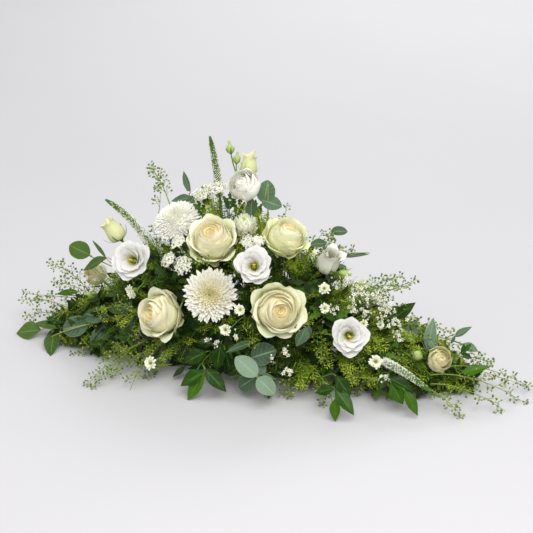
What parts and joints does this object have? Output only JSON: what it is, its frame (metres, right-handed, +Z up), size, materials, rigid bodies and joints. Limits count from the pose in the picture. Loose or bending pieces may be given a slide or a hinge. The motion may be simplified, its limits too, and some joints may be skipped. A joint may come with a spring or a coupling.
{
  "type": "pyramid funeral arrangement",
  "caption": "Low pyramid-shaped arrangement of white and cream flowers with trailing foliage, set in wet floral foam in a tray, to stand on a table or floor.",
  "frame": {"origin": "middle of the tray's underside, on the surface that the arrangement stands on", "axes": "+X along the arrangement to the viewer's right, -Y towards the viewer at the front, +Z up"},
  "size_m": [0.8722, 0.347, 0.3823],
  "materials": {
    "tray_plastic": "satin",
    "floral_foam": "matte, fine open pores",
    "anchor_tape": "satin",
    "rose_petals": "soft petal, slight sheen",
    "chrysanthemum_petals": "soft petal, matte",
    "lisianthus_petals": "soft petal, slight sheen",
    "small_flowers": "soft petal, matte",
    "umbel_flowers": "soft petal, matte",
    "waxflower": "soft petal, waxy",
    "speedwell_spikes": "soft bud, matte",
    "eucalyptus_leaves": "matte leaf with a waxy bloom",
    "ruscus_leaves": "glossy leaf",
    "podded_filler": "satin pod",
    "fern_fronds": "fine matte foliage"
  },
  "bodies": {
    "root": {"tray": "tray_plastic", "foam_brick": "floral_foam", "anchor_tape_left": "anchor_tape", "anchor_tape_right": "anchor_tape", "rose_top": "rose_petals", "rose_left": "rose_petals", "rose_right": "rose_petals", "rose_upper_right": "rose_petals", "rose_back_left": "rose_petals", "rose_back_right": "rose_petals", "chrysanthemum_front": "chrysanthemum_petals", "chrysanthemum_upper_left": "chrysanthemum_petals", "chrysanthemum_small": "chrysanthemum_petals", "chrysanthemum_back": "chrysanthemum_petals", "lisianthus_top": "lisianthus_petals", "lisianthus_upper_left": "lisianthus_petals", "lisianthus_left_bud": "lisianthus_petals", "lisianthus_centre": "lisianthus_petals", "lisianthus_right_front": "lisianthus_petals", "lisianthus_upper_right": "lisianthus_petals", "lisianthus_right_end": "lisianthus_petals", "lisianthus_far_left": "lisianthus_petals", "lisianthus_right_rear": "lisianthus_petals", "spray_centre": "small_flowers", "spray_right": "small_flowers", "spray_front_left": "small_flowers", "spray_right_front": "small_flowers", "ammi_left": "umbel_flowers", "ammi_top": "umbel_flowers", "ammi_centre": "umbel_flowers", "waxflower_right": "waxflower", "veronica_top": "speedwell_spikes", "veronica_left": "speedwell_spikes", "veronica_right": "speedwell_spikes", "eucalyptus_top_right": "eucalyptus_leaves", "eucalyptus_top_left": "eucalyptus_leaves", "eucalyptus_upper_right": "eucalyptus_leaves", "eucalyptus_right_trail": "eucalyptus_leaves", "eucalyptus_front": "eucalyptus_leaves", "eucalyptus_left": "eucalyptus_leaves", "eucalyptus_far_left": "eucalyptus_leaves", "eucalyptus_upper_left": "eucalyptus_leaves", "ruscus_front_left": "ruscus_leaves", "ruscus_front_right": "ruscus_leaves", "ruscus_right_front": "ruscus_leaves", "ruscus_right_end": "ruscus_leaves", "ruscus_left": "ruscus_leaves", "ruscus_back": "ruscus_leaves", "thlaspi_top_left": "podded_filler", "thlaspi_left": "podded_filler", "thlaspi_front_left": "podded_filler", "thlaspi_upper_right": "podded_filler", "thlaspi_right_end": "podded_filler", "fern_left_low": "fern_fronds", "fern_right_low": "fern_fronds", "fern_front": "fern_fronds", "fern_upper_left": "fern_fronds", "fern_upper_right": "fern_fronds", "fern_back_left": "fern_fronds", "fern_back_right": "fern_fronds"}
  },
  "joints": []
}
